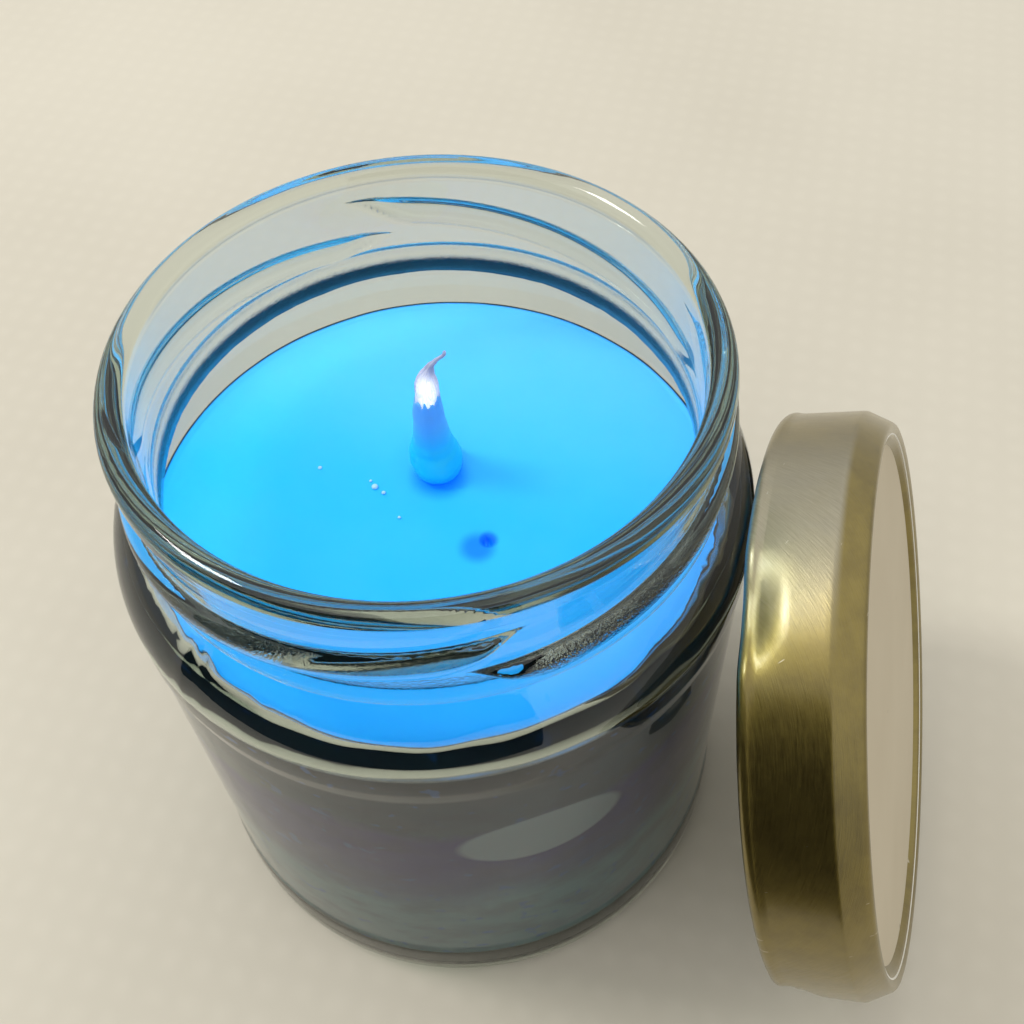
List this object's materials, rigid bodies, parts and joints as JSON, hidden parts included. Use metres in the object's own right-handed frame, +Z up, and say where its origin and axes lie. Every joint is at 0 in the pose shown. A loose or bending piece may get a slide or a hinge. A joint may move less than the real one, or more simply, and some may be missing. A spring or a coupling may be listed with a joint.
{
  "type": "jar candle with lug cap",
  "caption": "Glass twist-off jar part-filled with wax round a primed cotton wick, with its lined metal lug cap leaning against the shoulder.",
  "frame": {"origin": "centre of the jar's flat base, on the surface that it stands on", "axes": "+Z up along the jar's axis, +X from the jar's axis towards the leaning cap, +Y completes a right-handed frame"},
  "size_m": [0.0979, 0.0684, 0.081],
  "materials": {
    "clear_glass": "clear flint glass, fire polished",
    "blue_wax": "poured sky-blue wax, soft satin skin",
    "cotton": "braided white cotton, frayed at the tip",
    "wick_wax": "translucent wax coat",
    "foot_metal": "stamped plated steel",
    "pad": "foam adhesive pad",
    "gold_tinplate": "gold lacquered tinplate with fine turning marks",
    "liner": "moulded plastisol liner",
    "label_paper": "plain cream paper, matt"
  },
  "bodies": {
    "jar": {"glass_jar": "clear_glass", "wax_fill": "blue_wax", "wick_braid": "cotton", "wick_wax_coat": "wick_wax", "wick_foot": "foot_metal", "foot_pad": "pad"},
    "cap": {"cap_shell": "gold_tinplate", "cap_gasket": "liner", "cap_label": "label_paper"}
  },
  "joints": [
    {"name": "cap_tip", "type": "hinge", "parent": "jar", "child": "cap", "pos_m": [0.0594, 0, 0.0044], "axis": [0, 1, 0], "range_deg": [0, 106.9]}
  ]
}
